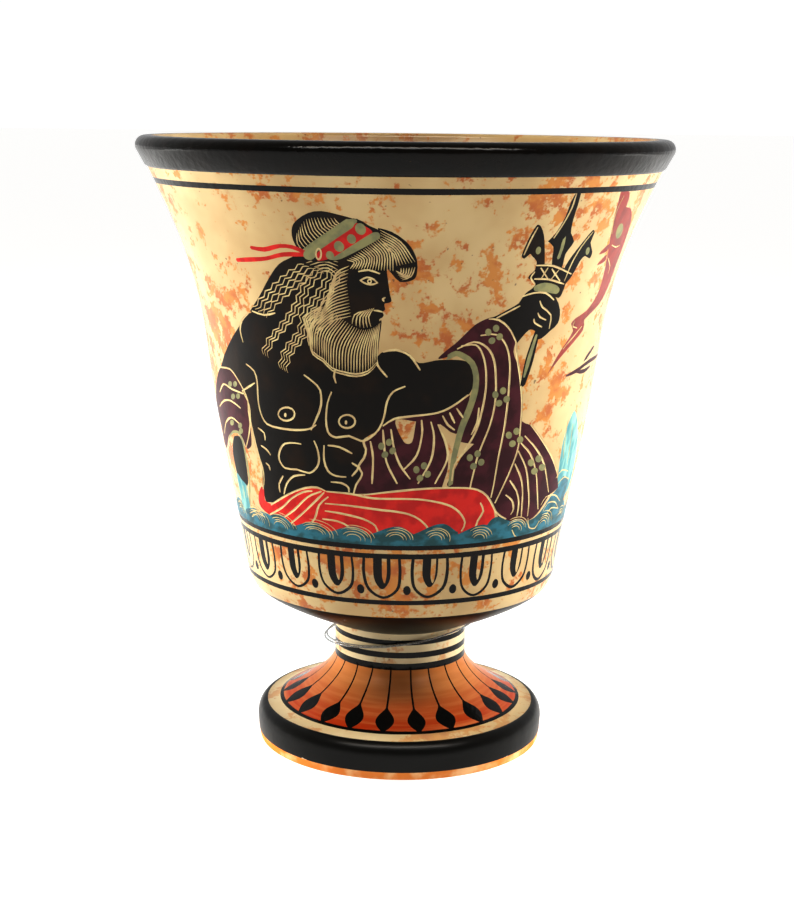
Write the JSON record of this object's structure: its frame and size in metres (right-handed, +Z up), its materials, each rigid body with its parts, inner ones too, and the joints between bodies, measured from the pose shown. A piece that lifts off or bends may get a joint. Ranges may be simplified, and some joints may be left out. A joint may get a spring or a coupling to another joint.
{
  "type": "pythagorean cup",
  "caption": "Footed pottery cup with a flared painted bowl, a black lip, a spreading foot and a hollow siphon column in the bowl that drains it through the stem.",
  "frame": {"origin": "on the cup's axis, on the surface that the foot stands on", "axes": "+Z up along the cup's axis, -Y towards the front, where the painted figure is"},
  "size_m": [0.1016, 0.1016, 0.118],
  "materials": {
    "painted_glazed_earthenware": "cream glaze sponged with orange, painted in black, teal, red and maroon, glossy",
    "clear_nylon_filament": "clear drawn filament"
  },
  "bodies": {
    "root": {"cup_body": "painted_glazed_earthenware", "stem_thread": "clear_nylon_filament"}
  },
  "joints": []
}
